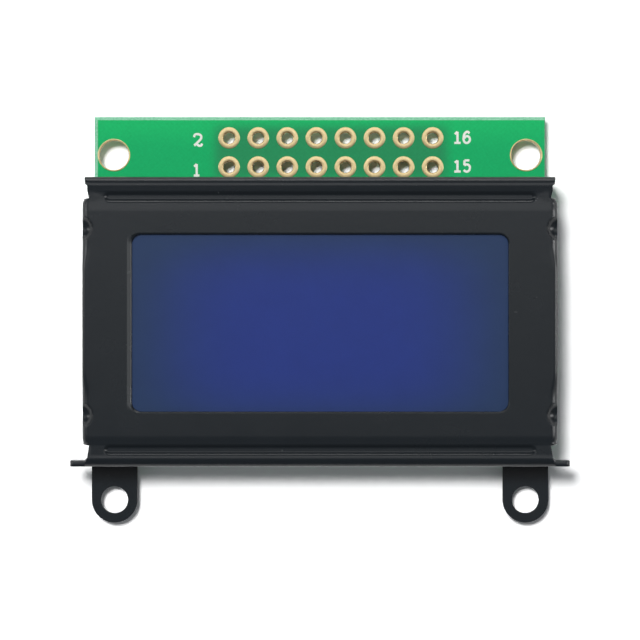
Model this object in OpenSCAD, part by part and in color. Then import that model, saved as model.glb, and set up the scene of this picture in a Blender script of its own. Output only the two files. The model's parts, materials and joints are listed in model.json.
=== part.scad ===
// Small character display module, 8 characters by 2 lines, with its backlight.
// A folded steel bezel clamps the glass cell and the backlight onto a circuit board.
// The board carries a double row of header holes and two fixing holes, and the
// bezel carries two more fixing holes in lugs folded out at its lower edge.
// Front of the display faces +Z, the header is at the +Y edge, +X is to the right.
// Z = 0 is the lowest point at the back, the crown of the chip's resin cap.

/* [Overall] */

// Length from the board's header edge to the tips of the bezel's lugs, mm
overall_l = 35.5; // [35:0.1:36]

// Distance between the two fixing holes of a pair, mm
fixing_spacing = 36; // [35.8:0.1:36.2]

/* [Circuit board] */

// Width of the board, mm
board_w = 39.4; // [39:0.1:39.6]

// Thickness of the board, mm
board_t = 1.6; // [1.2:0.2:1.6]

// Bare diameter of the board's plated fixing holes, mm
board_hole_d = 2.7; // [2.5:0.1:2.8]

// Distance of the board's fixing holes from the header edge, mm
board_hole_edge = 3.35; // [3.2:0.05:3.5]

/* [Header] */

// Distance between neighbouring header holes, mm
pin_pitch = 2.54; // [2.54:0.01:2.54]

// Header holes in each of the two rows
pins_per_row = 8; // [8:1:8]

// Inner diameter of a plated header hole, mm
header_hole_d = 1.0; // [0.9:0.05:1.1]

// Diameter of the copper pad around a header hole, mm
header_pad_d = 1.9; // [1.7:0.05:2]

// Distance of the outer header row from the board's edge, mm
header_edge = 1.85; // [1.8:0.05:1.9]

// Sideways shift of the header from the middle of the board, mm
header_shift = 0.95; // [0:0.05:1.2]

/* [Bezel] */

// Width of the bezel across its side walls, mm
bezel_w = 40.8; // [40.6:0.1:41]

// Length of the bezel across its upper and lower walls, mm
bezel_l = 24.9; // [24.8:0.1:25]

// Bare board between the header edge and the bezel, mm
header_strip = 5.45; // [5.4:0.05:5.5]

// Thickness of the bezel's sheet, mm
sheet_t = 0.5; // [0.4:0.05:0.5]

// Inner radius of the bends along the face, mm
bend_r = 0.3; // [0.2:0.05:0.4]

// Length of each side wall between its two corner reliefs, mm
side_wall_l = 21.2; // [20.8:0.1:21.4]

// Width of the upper and lower walls, mm
end_wall_w = 40.4; // [40.2:0.1:40.5]

// Width of the face between the corner reliefs, mm
relief_w = 39.9; // [39.6:0.1:40]

/* [Viewing window] */

// Width of the window, mm
window_w = 32.3; // [31:0.1:33]

// Height of the window, mm
window_h = 15.2; // [14.5:0.1:15.5]

// Corner radius of the window, mm
window_r = 0.85; // [0.6:0.05:1.2]

// Width and depth of the coined edge around the window, mm
window_edge = 0.2; // [0.1:0.05:0.25]

/* [Darts and beads] */

// Distance of the darts from the middle of the side walls, mm
dart_offset = 8; // [7:0.1:8.5]

// Radius of the ball that presses a dart, mm
dart_r = 1.05; // [0.9:0.05:1.15]

// Length of a stiffening bead at the face, mm
bead_l = 37.2; // [35:0.1:37.4]

// Width of a bead at the face, mm
bead_w = 1.1; // [0.9:0.05:1.2]

// Distance of the upper bead from the bezel's upper edge, mm
upper_bead = 1.75; // [1.7:0.05:1.85]

// Distance of the lower bead from the bezel's lower edge, mm
lower_bead = 1.45; // [1.4:0.05:1.5]

/* [Lugs, ears and tabs] */

// Width of a fixing lug, mm
lug_w = 4.0; // [3.8:0.1:4.2]

// Diameter of the hole in a fixing lug, mm
lug_hole_d = 2.35; // [2.2:0.05:2.5]

// How far an ear stands out past the lower wall's end, mm
ear_reach = 1.3; // [1:0.1:1.5]

// Height of an ear, mm
ear_h = 3.0; // [2:0.1:4]

// Width of a tab that folds under the board, mm
tab_w = 2.4; // [2:0.1:2.6]

// How far a folded tab reaches in under the board, mm
tab_reach = 1.7; // [1.2:0.1:1.8]

/* [Glass cell] */

// Thickness of each sheet of glass, mm
glass_t = 1.1; // [0.7:0.1:1.1]

// Width of the glass, mm
glass_w = 37.2; // [36.6:0.1:37.4]

// Thickness of the layer between the two sheets of glass, mm
cell_gap = 0.05; // [0.03:0.01:0.08]

// Width of the seal around the layer, mm
seal_w = 0.9; // [0.7:0.1:1.2]

// Thickness of each polarizer, mm
polarizer_t = 0.2; // [0.15:0.05:0.25]

/* [Connectors and backlight] */

// Thickness of a rubber connector strip, mm
zebra_t = 1.6; // [1.4:0.1:1.6]

// Length of a rubber connector strip, mm
zebra_l = 34.4; // [32:0.1:35]

// Contact fingers under each connector strip
finger_count = 28; // [20:1:28]

// Distance between neighbouring contact fingers, mm
finger_pitch = 1.1; // [1.1:0.05:1.15]

// Height of the backlight frame, mm
backlight_t = 3.2; // [3:0.1:3.6]

// Lamps along the light guide's edge
led_count = 3; // [3:1:3]

/* [Back of the board] */

// Diameter of the resin cap over the chip, mm
cap_d = 11; // [10:0.5:12]

// Height of the resin cap, mm
cap_h = 1.2; // [1:0.1:1.4]

// Length of a chip resistor or capacitor, mm
chip_l = 2.0; // [1.6:0.1:2]

// Width of a chip resistor or capacitor, mm
chip_w = 1.25; // [0.8:0.05:1.25]

// Height of a chip resistor, mm
resistor_h = 0.5; // [0.4:0.05:0.55]

// Height of a chip capacitor, mm
capacitor_h = 0.65; // [0.5:0.05:0.8]

/* [Hidden] */

// facets of large rounds, pressed balls, small rounds and the flat dome
wide_fn = 32;
ball_fn = 24;
small_fn = 16;
dome_fn = 120;

// how far a cut runs past the faces it goes through, mm
past = 1;

// clearances, and the thickness of the copper and its plating, mm
edge_gap = 0.15;
face_gap = 0.05;
strip_gap = 0.2;
wall_lift = 0.15;
film_gap = 0.2;
lamp_gap = 0.05;
plating_t = 0.05;
ring_w = 0.15;
pad_t = 0.06;
finger_t = 0.04;

// heights above the lowest point, from the back of the board up to the face
board_z = cap_h;
board_top = board_z + board_t;
rear_glass_z = board_top + backlight_t;
gap_z = rear_glass_z + glass_t;
front_glass_z = gap_z + cell_gap;
polarizer_z = front_glass_z + glass_t;
face_under = polarizer_z + polarizer_t + face_gap;
face_z = face_under + sheet_t;
bend_z = face_under - bend_r;
bend_out = bend_r + sheet_t;
tab_r = bezel_w / 2 - sheet_t - board_w / 2;
relief_gap = 0.25;
relief_h = 0.3;
dart_rise = 0.1;
root = 0.1;
window_drop = 0.1;
bead_depth = polarizer_t + face_gap;
bead_side = 0.1;

// the same along the module, from the header edge down to the lugs
header_y = overall_l / 2;
bezel_top = header_y - header_strip;
bezel_low = bezel_top - bezel_l;
bezel_y = (bezel_top + bezel_low) / 2;
board_low = bezel_low + sheet_t + edge_gap;
board_l = header_y - board_low;
board_y = (header_y + board_low) / 2;
board_hole_y = header_y - board_hole_edge;
lug_y = -overall_l / 2 + lug_w / 2;
upper_bead_y = bezel_top - upper_bead;
lower_bead_y = bezel_low + lower_bead;
window_y = bezel_y - window_drop;

// the glass, and the space between the two connector strips
front_glass_l = bezel_l - 2 * sheet_t - 2 * edge_gap;
inner_top = upper_bead_y - zebra_t / 2 - strip_gap;
inner_low = lower_bead_y + zebra_t / 2 + strip_gap;
inner_l = inner_top - inner_low;
inner_y = (inner_top + inner_low) / 2;
seal_inset = 0.4;

// the frame's pocket: reflector, light guide and diffuser in it, then air
rim_w = 1.0;
thin_rim_w = 0.8;
pocket_left = -glass_w / 2 + rim_w;
pocket_right = glass_w / 2 - thin_rim_w;
pocket_l = inner_l - 2 * rim_w;
floor_t = 0.4;
reflector_t = 0.1;
diffuser_t = 0.2;
air_gap = 0.1;
stack_t = floor_t + reflector_t + diffuser_t + air_gap + polarizer_t;
guide_z = board_top + floor_t + reflector_t;
guide_t = backlight_t - stack_t;

// the lamps at the pocket's right end, their strip and its two leads
led_deep = 0.9;
led_wide = 3.0;
led_high = 1.2;
led_pitch = 5.0;
led_strip_t = 0.5;
led_strip_x = pocket_right - 3 * lamp_gap - led_strip_t;
led_x = led_strip_x - led_deep;
guide_left = pocket_left + film_gap;
guide_right = led_x - lamp_gap;
lead_x = led_strip_x + led_strip_t / 2;
lead_y = 5.5;
lead_d = 0.5;
lead_gap = 0.1;
lead_edge = 1.2;
lead_tip = 0.5;
joint_d = 1.8;

// header holes: odd numbers in the row next to the glass, even ones at the edge
function pin_x(n) = header_shift + (floor((n - 1) / 2) - (pins_per_row - 1) / 2) * pin_pitch;
function pin_y(n) = header_y - header_edge - (n % 2) * pin_pitch;
function two(n) = str(n < 10 ? "0" : "", n);
pin_count = 2 * pins_per_row;

// chip parts on the back: place from the middle of the board, and turn
resistor_at = [
  [6.2, 5.7, 0],
  [9.4, 5.7, 0],
  [12.6, 5.7, 0],
  [6.2, 3.3, 0],
  [9.4, 3.3, 0],
  [13.6, -0.9, 90],
  [13.6, -5.5, 90]
];
capacitor_at = [
  [-11.6, 5.3, 0],
  [8.0, -11.9, 0]
];
cap_at = [-1.5, -3.9];

pad_nodes = [for (n = [1 : pin_count]) str("header_pad_", two(n))];
led_nodes = [for (n = [1 : led_count]) str("led_", n)];
resistor_nodes = [for (n = [1 : len(resistor_at)]) str("resistor_", n)];
capacitor_nodes = [for (n = [1 : len(capacitor_at)]) str("capacitor_", n)];

// Quarter of a bent sheet around the origin, from +X round to +Y
module bend_shape(inner_r) {
  outer_r = inner_r + sheet_t;
  difference() {
    circle(r = outer_r, $fn = wide_fn);
    circle(r = inner_r, $fn = wide_fn);
    translate([-outer_r, -outer_r]) square([outer_r, 2 * outer_r]);
    translate([-outer_r, -outer_r]) square([2 * outer_r, outer_r]);
  }
}

// Section of a wall that folds down from the face
module wall_shape(low_z) {
  bend_shape(bend_r);
  translate([bend_r, low_z - bend_z]) square([sheet_t, bend_z - low_z]);
}

// Side wall on the right, over the stated stretch of its length
module side_wall(low_y, high_y, low_z) {
  translate([bezel_w / 2 - bend_out, high_y, bend_z])
    rotate([90, 0, 0])
      linear_extrude(high_y - low_y)
        wall_shape(low_z);
}

// Wall at the upper end, over the stated width
module end_wall(width, low_z) {
  translate([-width / 2, 0, bend_z])
    rotate([90, 0, 90])
      linear_extrude(width)
        wall_shape(low_z);
}

// Tab that folds in under the board from the right side wall
module fold_tab(y) {
  translate([board_w / 2, y + tab_w / 2, board_z + tab_r])
    rotate([90, 0, 0])
      linear_extrude(tab_w) {
        mirror([0, 1]) bend_shape(tab_r);
        translate([-tab_reach, -tab_r - sheet_t]) square([tab_reach, sheet_t]);
        translate([tab_r, 0]) square([sheet_t, relief_h + root]);
      }
}

// Notch in the right side wall that frees a tab on both sides
module tab_relief(y) {
  translate([board_w / 2, y - tab_w / 2 - relief_gap, board_z - past])
    cube([bend_out + past, tab_w + 2 * relief_gap, past + tab_r + relief_h]);
}

// Lug that folds out from the lower wall, without its hole
module lug(x) {
  foot_y = bezel_low - bend_r;
  translate([x - lug_w / 2, foot_y, board_z + bend_out])
    rotate([90, 0, 90])
      linear_extrude(lug_w) {
        mirror([0, 1]) bend_shape(bend_r);
        translate([bend_r, 0]) square([sheet_t, relief_h + root]);
      }
  translate([x - lug_w / 2, lug_y, board_z])
    cube([lug_w, foot_y - lug_y, sheet_t]);
  translate([x, lug_y, board_z])
    cylinder(d = lug_w, h = sheet_t, $fn = wide_fn);
}

// Notch in the lower wall that frees a lug on both sides
module lug_relief(x) {
  translate([x - lug_w / 2 - relief_gap, bezel_low - past, board_z - past])
    cube([lug_w + 2 * relief_gap, sheet_t + 2 * past, past + bend_out + relief_h]);
}

// Ear at the right end of the lower wall, with rounded tips
module ear() {
  tip_r = 0.5;
  top = bend_z;
  reach = end_wall_w / 2 + ear_reach;
  translate([0, bezel_low + sheet_t, 0])
    rotate([90, 0, 0])
      linear_extrude(sheet_t) {
        translate([end_wall_w / 2 - root, top - ear_h])
          square([root + ear_reach - tip_r, ear_h]);
        translate([reach - tip_r, top - ear_h + tip_r])
          square([tip_r, ear_h - 2 * tip_r]);
        translate([reach - tip_r, top - tip_r]) circle(r = tip_r, $fn = small_fn);
        translate([reach - tip_r, top - ear_h + tip_r]) circle(r = tip_r, $fn = small_fn);
      }
}

// Long shallow bead with sloping flanks and ends, hanging down from z = 0
module bead(length, width, depth) {
  slope = 0.3;
  intersection() {
    translate([-length / 2 - past, 0, 0])
      rotate([90, 0, 90])
        linear_extrude(length + 2 * past)
          polygon([
            [-width / 2, 0],
            [width / 2, 0],
            [width / 2 - slope, -depth],
            [-width / 2 + slope, -depth]
          ]);
    translate([0, width, 0])
      rotate([90, 0, 0])
        linear_extrude(2 * width)
          polygon([
            [-length / 2, 0],
            [length / 2, 0],
            [length / 2 - 2 * slope, -depth],
            [-length / 2 + 2 * slope, -depth]
          ]);
  }
}

// Rounded opening of the window, through the whole height
module window_shape(height) {
  linear_extrude(height) {
    square([window_w, window_h - 2 * window_r], center = true);
    square([window_w - 2 * window_r, window_h], center = true);
    for (x = [-1, 1], y = [-1, 1])
      translate([x * (window_w / 2 - window_r), y * (window_h / 2 - window_r)])
        circle(r = window_r, $fn = wide_fn);
  }
}

// One pair of the coined edge's slopes, as a long wedge that opens upwards
module edge_wedge(across, along) {
  rotate([90, 0, 0])
    translate([0, 0, -along / 2])
      linear_extrude(along)
        polygon([
          [-across / 2, -window_edge],
          [across / 2, -window_edge],
          [across / 2 + window_edge, 0],
          [-across / 2 - window_edge, 0]
        ]);
}

// Coined edge around the window, cut into the face down from z = 0
module window_bevel() {
  edge_wedge(window_w, window_h - 2 * window_r);
  rotate([0, 0, 90]) edge_wedge(window_h, window_w - 2 * window_r);
  for (x = [-1, 1], y = [-1, 1])
    translate([
      x * (window_w / 2 - window_r),
      y * (window_h / 2 - window_r),
      -window_edge
    ])
      cylinder(r1 = window_r, r2 = window_r + window_edge, h = window_edge, $fn = wide_fn);
}

// Flat sheet of the face, wider in the corners than between the side bends
module face_sheet() {
  flat_w = bezel_w - 2 * bend_out;
  flat_l = bezel_l - 2 * bend_out;
  translate([0, bezel_y, face_under])
    linear_extrude(sheet_t) {
      square([flat_w, flat_l], center = true);
      for (end = [-1, 1])
        translate([-relief_w / 2, end > 0 ? side_wall_l / 2 : -flat_l / 2])
          square([relief_w, (flat_l - side_wall_l) / 2]);
    }
}

// Everything the darts may fill: the block inside the bezel's outer surface
module side_block(y) {
  deep = 2 * dart_r + sheet_t;
  translate([bezel_w / 2 - bend_out, y + deep, bend_z])
    rotate([90, 0, 0])
      linear_extrude(2 * deep) {
        circle(r = bend_out, $fn = wide_fn);
        translate([-deep, 0]) square([deep, bend_out]);
        translate([-deep, -deep]) square([deep + bend_out, deep]);
      }
}

// Centre of the ball that presses a dart into the right-hand bend
function dart_at(end) = [
  bezel_w / 2 + dart_rise,
  bezel_y + end * dart_offset,
  face_z + dart_rise
];

// Folded bezel: one sheet, folded down on four sides, with the window, two
// beads that press on the ledges of the glass, four darts across the side
// bends, four tabs folded under the board, two ears and two fixing lugs
module bezel() {
  color([0.11, 0.12, 0.13])
    difference() {
      union() {
        face_sheet();
        translate([0, bezel_top - bend_out, 0])
          end_wall(end_wall_w, board_top + wall_lift);
        difference() {
          translate([0, bezel_low + bend_out, 0])
            mirror([0, 1, 0]) end_wall(end_wall_w, board_z + wall_lift);
          for (x = [-1, 1]) lug_relief(x * fixing_spacing / 2);
        }
        for (x = [-1, 1]) lug(x * fixing_spacing / 2);
        for (side = [0, 1])
          mirror([side, 0, 0]) {
            difference() {
              side_wall(
                bezel_y - side_wall_l / 2,
                bezel_y + side_wall_l / 2,
                board_z + wall_lift
              );
              for (end = [-1, 1]) tab_relief(bezel_y + end * dart_offset);
            }
            ear();
            for (end = [-1, 1]) {
              fold_tab(bezel_y + end * dart_offset);
              intersection() {
                translate(dart_at(end)) sphere(r = dart_r + sheet_t, $fn = ball_fn);
                side_block(bezel_y + end * dart_offset);
              }
            }
          }
        for (y = [upper_bead_y, lower_bead_y])
          translate([0, y, face_under])
            bead(bead_l + 2 * bead_side, bead_w + 2 * bead_side, bead_depth);
      }
      for (y = [upper_bead_y, lower_bead_y])
        translate([0, y, face_z]) bead(bead_l, bead_w, bead_depth);
      for (side = [0, 1], end = [-1, 1])
        mirror([side, 0, 0])
          translate(dart_at(end)) sphere(r = dart_r, $fn = ball_fn);
      translate([0, window_y, face_under - past]) window_shape(sheet_t + 2 * past);
      translate([0, window_y, face_z]) window_bevel();
      for (x = [-1, 1])
        translate([x * fixing_spacing / 2, lug_y, board_z - past])
          cylinder(d = lug_hole_d, h = sheet_t + 2 * past, $fn = wide_fn);
    }
}

// Drill that goes right through the board
module board_drill(hole_d, facets) {
  translate([0, 0, board_z - past])
    cylinder(d = hole_d, h = board_t + 2 * past, $fn = facets);
}

// Board with its fixing holes, header holes and the two holes for the lamp leads
module printed_board() {
  color([0.13, 0.66, 0.40])
    difference() {
      translate([-board_w / 2, board_low, board_z]) cube([board_w, board_l, board_t]);
      for (x = [-1, 1])
        translate([x * fixing_spacing / 2, board_hole_y, 0])
          board_drill(board_hole_d + 2 * plating_t, wide_fn);
      for (n = [1 : pin_count])
        translate([pin_x(n), pin_y(n), 0])
          board_drill(header_hole_d + 2 * plating_t, small_fn);
      for (side = [-1, 1])
        translate([lead_x, inner_y + side * lead_y, 0])
          board_drill(lead_d, small_fn);
    }
}

// Plated hole through the board: a barrel with a flat land on both faces
module plated_hole(hole_d, land_d, facets) {
  r = hole_d / 2;
  translate([0, 0, board_z])
    rotate_extrude($fn = facets)
      polygon([
        [r + pad_t, -pad_t],
        [land_d / 2, -pad_t],
        [land_d / 2, 0],
        [r + plating_t, 0],
        [r + plating_t, board_t],
        [land_d / 2, board_t],
        [land_d / 2, board_t + pad_t],
        [r + pad_t, board_t + pad_t],
        [r, board_t],
        [r, 0]
      ]);
}

// Header hole with its copper pad, by its pin number
module header_pad(n) {
  color([0.86, 0.76, 0.50])
    translate([pin_x(n), pin_y(n), 0])
      plated_hole(header_hole_d, header_pad_d, small_fn);
}

// Thin plated ring in a fixing hole of the board
module hole_ring(side) {
  color([0.80, 0.68, 0.45])
    translate([side * fixing_spacing / 2, board_hole_y, 0])
      plated_hole(board_hole_d, board_hole_d + 2 * ring_w, wide_fn);
}

// Front sheet of glass, with a ledge over each connector strip
module front_glass() {
  color([0.30, 0.36, 0.62, 0.9])
    translate([-glass_w / 2, bezel_y - front_glass_l / 2, front_glass_z])
      cube([glass_w, front_glass_l, glass_t]);
}

// Rear sheet of glass, between the two connector strips
module rear_glass() {
  color([0.35, 0.42, 0.60, 0.9])
    translate([-glass_w / 2, inner_low, rear_glass_z])
      cube([glass_w, inner_l, glass_t]);
}

// Flat frame of seal between the two sheets, open at the filling port
module cell_seal() {
  long = glass_w - 2 * seal_inset;
  wide = inner_l - 2 * seal_inset;
  port_w = 1.6;
  color([0.75, 0.72, 0.60])
    translate([0, inner_y, gap_z])
      linear_extrude(cell_gap)
        difference() {
          square([long, wide], center = true);
          square([long - 2 * seal_w, wide - 2 * seal_w], center = true);
          translate([long / 2 - 2 * seal_w, -port_w / 2]) square([3 * seal_w, port_w]);
        }
}

// Liquid crystal, the layer that fills the seal
module liquid_crystal() {
  inset = seal_inset + seal_w;
  color([0.20, 0.25, 0.55])
    translate([-glass_w / 2 + inset, inner_low + inset, gap_z])
      cube([glass_w - 2 * inset, inner_l - 2 * inset, cell_gap]);
}

// Drop of resin that closes the filling port at the right end of the glass
module end_seal() {
  drop_r = 1.6;
  proud = 0.5;
  high = 1.6;
  color([0.80, 0.78, 0.66])
    translate([glass_w / 2, inner_y, gap_z + cell_gap / 2])
      intersection() {
        translate([proud - drop_r, 0, 0]) sphere(r = drop_r, $fn = ball_fn);
        translate([0, -drop_r, -high / 2]) cube([drop_r, 2 * drop_r, high]);
      }
}

// Front polarizer, clear of the beads above and below it
module front_polarizer() {
  inset = 0.6;
  low = lower_bead_y + bead_w / 2 + strip_gap;
  high = upper_bead_y - bead_w / 2 - strip_gap;
  color([0.22, 0.27, 0.50])
    translate([-glass_w / 2 + inset, low, polarizer_z])
      cube([glass_w - 2 * inset, high - low, polarizer_t]);
}

// Rear polarizer, on the back of the rear glass inside the backlight's rim
module rear_polarizer() {
  long = pocket_right - pocket_left - 2 * film_gap;
  wide = pocket_l - 2 * film_gap;
  color([0.40, 0.42, 0.60])
    translate([pocket_left + film_gap, inner_y - wide / 2, rear_glass_z - polarizer_t])
      cube([long, wide, polarizer_t]);
}

// Rubber strip that joins the board's contacts to the ledge of the front glass
module connector_strip(y) {
  low = board_top + finger_t;
  color([0.90, 0.62, 0.66])
    translate([-zebra_l / 2, y - zebra_t / 2, low])
      cube([zebra_l, zebra_t, front_glass_z - low]);
}

// Row of copper contacts on the board under a connector strip
module contact_fingers(y) {
  finger_l = zebra_t - 2 * face_gap;
  finger_w = 0.6;
  color([0.87, 0.73, 0.42])
    for (i = [0 : finger_count - 1])
      translate([
        (i - (finger_count - 1) / 2) * finger_pitch - finger_w / 2,
        y - finger_l / 2,
        board_top
      ])
        cube([finger_w, finger_l, finger_t]);
}

// White tray of the backlight, with holes in its floor for the two leads
module backlight_frame() {
  color([0.95, 0.95, 0.93])
    difference() {
      translate([-glass_w / 2, inner_low, board_top])
        cube([glass_w, inner_l, backlight_t]);
      translate([pocket_left, inner_y - pocket_l / 2, board_top + floor_t])
        cube([pocket_right - pocket_left, pocket_l, backlight_t]);
      for (side = [-1, 1])
        translate([lead_x, inner_y + side * lead_y, board_top - past])
          cylinder(d = lead_d + 2 * lead_gap, h = floor_t + 2 * past, $fn = small_fn);
    }
}

// Sheet the same size as the light guide
module guide_sheet(low_z, thick) {
  wide = pocket_l - 2 * film_gap;
  translate([guide_left, inner_y - wide / 2, low_z])
    cube([guide_right - guide_left, wide, thick]);
}

// Mirror film on the tray's floor
module reflector_sheet() {
  color([0.93, 0.93, 0.95]) guide_sheet(board_top + floor_t, reflector_t);
}

// Clear plate that spreads the lamps' light, with its far edge cut back at 45 degrees
module light_guide() {
  chamfer = 0.7;
  color([0.85, 0.92, 0.98, 0.8])
    difference() {
      guide_sheet(guide_z, guide_t);
      translate([guide_left, inner_y, guide_z + guide_t])
        rotate([0, 45, 0])
          cube([chamfer, pocket_l, chamfer], center = true);
    }
}

// Matt film over the light guide
module diffuser_sheet() {
  color([0.97, 0.97, 0.97]) guide_sheet(guide_z + guide_t, diffuser_t);
}

// Narrow board that carries the lamps at the right end of the light guide
module led_strip() {
  strip_l = 2 * (lead_y + lead_edge);
  color([0.90, 0.90, 0.86])
    translate([led_strip_x, inner_y - strip_l / 2, guide_z])
      cube([led_strip_t, strip_l, guide_t]);
}

// Side-firing lamp: white body with its lens in a round-ended recess
module led(n) {
  lens_r = 0.35;
  lens_half = 0.3 * led_wide;
  lens_deep = 0.2;
  color([0.96, 0.93, 0.78])
    translate([led_x, inner_y + (n - (led_count + 1) / 2) * led_pitch, guide_z + guide_t / 2])
      difference() {
        translate([0, -led_wide / 2, -led_high / 2]) cube([led_deep, led_wide, led_high]);
        translate([-lens_deep, 0, 0])
          rotate([0, 90, 0])
            linear_extrude(2 * lens_deep) {
              square([2 * lens_r, 2 * lens_half], center = true);
              for (side = [-1, 1])
                translate([0, side * lens_half]) circle(r = lens_r, $fn = small_fn);
            }
      }
}

// Round lead from the lamp strip down through the board
module backlight_lead(side) {
  color([0.80, 0.80, 0.82])
    translate([lead_x, inner_y + side * lead_y, lead_tip])
      cylinder(d = lead_d, h = guide_z - lead_tip, $fn = small_fn);
}

// Cone of solder around a lead on the back of the board
module solder_joint(side) {
  low = lead_tip + 0.15;
  neck = 0.25;
  rim = 0.12;
  r = joint_d / 2;
  color([0.78, 0.79, 0.80])
    translate([lead_x, inner_y + side * lead_y, 0])
      rotate_extrude($fn = small_fn)
        polygon([
          [lead_d / 2, low],
          [lead_d / 2 + rim, low],
          [lead_d / 2 + neck, low + neck],
          [r - rim, board_z - rim],
          [r, board_z],
          [lead_d / 2, board_z]
        ]);
}

// Domed resin over the driver chip, a cap cut from a large ball
module resin_cap() {
  r = (pow(cap_d / 2, 2) + pow(cap_h, 2)) / (2 * cap_h);
  color([0.06, 0.06, 0.06])
    translate([cap_at[0], board_y + cap_at[1], board_z])
      mirror([0, 0, 1])
        rotate_extrude($fn = wide_fn)
          intersection() {
            translate([0, cap_h - r]) circle(r = r, $fn = dome_fn);
            square([cap_d / 2, cap_h]);
          }
}

// Chip part with its two metal ends standing a little proud of the body
module chip(at, high) {
  end_l = 0.4;
  rise = 0.03;
  translate([at[0], board_y + at[1], board_z])
    rotate([0, 0, at[2]])
      mirror([0, 0, 1]) {
        translate([-chip_l / 2 + end_l / 2, -chip_w / 2 + rise, 0])
          cube([chip_l - end_l, chip_w - 2 * rise, high - rise]);
        for (side = [-1, 1])
          translate([side * (chip_l - end_l) / 2 - end_l / 2, -chip_w / 2, 0])
            cube([end_l, chip_w, high]);
      }
}

// Chip resistor, by its number
module resistor(n) {
  color([0.12, 0.12, 0.13]) chip(resistor_at[n - 1], resistor_h);
}

// Chip capacitor, by its number
module capacitor(n) {
  color([0.72, 0.58, 0.42]) chip(capacitor_at[n - 1], capacitor_h);
}

bezel();
printed_board();
hole_ring(-1);  // hole_ring_left
hole_ring(1);  // hole_ring_right
for (n = [1 : pin_count])
  header_pad(n);
front_glass();
rear_glass();
cell_seal();
liquid_crystal();
end_seal();
front_polarizer();
rear_polarizer();
connector_strip(upper_bead_y);  // connector_strip_upper
connector_strip(lower_bead_y);  // connector_strip_lower
contact_fingers(upper_bead_y);  // contact_fingers_upper
contact_fingers(lower_bead_y);  // contact_fingers_lower
backlight_frame();
reflector_sheet();
light_guide();
diffuser_sheet();
led_strip();
for (n = [1 : led_count])
  led(n);
backlight_lead(1);  // backlight_lead_a
backlight_lead(-1);  // backlight_lead_k
solder_joint(1);  // solder_joint_a
solder_joint(-1);  // solder_joint_k
resin_cap();
for (n = [1 : len(resistor_at)])
  resistor(n);
for (n = [1 : len(capacitor_at)])
  capacitor(n);
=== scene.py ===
import json
import math

import bmesh
import bpy
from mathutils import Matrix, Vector


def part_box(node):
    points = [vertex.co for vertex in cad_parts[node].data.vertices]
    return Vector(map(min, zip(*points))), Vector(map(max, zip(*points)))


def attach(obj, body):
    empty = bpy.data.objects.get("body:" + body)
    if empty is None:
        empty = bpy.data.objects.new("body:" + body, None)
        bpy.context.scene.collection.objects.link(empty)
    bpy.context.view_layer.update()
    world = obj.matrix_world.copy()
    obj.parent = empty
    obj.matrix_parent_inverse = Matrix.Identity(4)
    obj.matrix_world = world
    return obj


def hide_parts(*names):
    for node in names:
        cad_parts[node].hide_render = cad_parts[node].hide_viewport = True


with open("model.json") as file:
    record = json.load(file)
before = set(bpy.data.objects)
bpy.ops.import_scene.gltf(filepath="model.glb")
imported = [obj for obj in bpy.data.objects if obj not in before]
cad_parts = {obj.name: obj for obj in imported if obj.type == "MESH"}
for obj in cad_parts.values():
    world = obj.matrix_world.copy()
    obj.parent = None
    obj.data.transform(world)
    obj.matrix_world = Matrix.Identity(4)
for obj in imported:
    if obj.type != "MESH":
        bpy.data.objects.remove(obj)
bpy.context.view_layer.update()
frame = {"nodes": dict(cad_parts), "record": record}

perMetre = 1000.0     # pieces are modelled in millimetres and brought to metres at the end
quarter = math.radians(90)
slack = 0.01          # how far past the ends of a span a corner still counts
weld = 0.0005         # corners closer than this are made one
axes = {"x": Vector((1, 0, 0)), "y": Vector((0, 1, 0)), "z": Vector((0, 0, 1))}


def nodeBox(name):
    low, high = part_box(name)
    return low * perMetre, high * perMetre


def nodeMiddle(name):
    low, high = nodeBox(name)
    return (low + high) / 2


def editMode():
    bpy.ops.object.mode_set(mode="EDIT")


def objectMode():
    bpy.ops.object.mode_set(mode="OBJECT")


def deselectAll():
    if bpy.context.object and bpy.context.object.mode != "OBJECT":
        objectMode()
    bpy.ops.object.select_all(action="DESELECT")


def makeActive(piece):
    deselectAll()
    piece.select_set(True)
    bpy.context.view_layer.objects.active = piece


def named(name):
    piece = bpy.context.object
    piece.name = name
    piece.data.name = name
    return piece


def pickParts(piece, kind, test):
    # selects each vertex, edge or face whose corners all pass the test
    bpy.ops.mesh.select_mode(type=kind)
    bpy.ops.mesh.select_all(action="DESELECT")
    mesh = bmesh.from_edit_mesh(piece.data)
    parts = {"VERT": mesh.verts, "EDGE": mesh.edges, "FACE": mesh.faces}[kind]
    for part in parts:
        corners = [part.co] if kind == "VERT" else [corner.co for corner in part.verts]
        if all(test(corner) for corner in corners):
            part.select_set(True)
    mesh.select_flush_mode()
    bmesh.update_edit_mesh(piece.data)


def moveParts(piece, kind, test, move):
    pickParts(piece, kind, test)
    bpy.ops.transform.translate(value=move)


def scaleCorners(piece, test, scale, center):
    pickParts(piece, "VERT", test)
    bpy.ops.transform.resize(value=scale, center_override=center)


def near(value, target, reach=0.002):
    return abs(value - target) < reach


def around(middle, half):
    return middle - half, middle + half


def within(x=None, y=None, z=None):
    # a test for corners: each axis takes a place, a span between two places, or nothing
    def test(corner):
        for value, limit in zip(corner, (x, y, z)):
            if isinstance(limit, tuple):
                if not min(limit) - slack < value < max(limit) + slack:
                    return False
            elif limit is not None and not near(value, limit):
                return False
        return True
    return test


def bisectAt(piece, test, axis, place):
    pickParts(piece, "FACE", test)
    bpy.ops.mesh.bisect(plane_co=axes[axis] * place, plane_no=axes[axis])


def newCube(name, size):
    # stays in edit mode, with all of it selected
    deselectAll()
    bpy.ops.mesh.primitive_cube_add(size=1, location=(0, 0, 0))
    piece = named(name)
    editMode()
    bpy.ops.mesh.select_all(action="SELECT")
    bpy.ops.transform.resize(value=size)
    return piece


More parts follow.
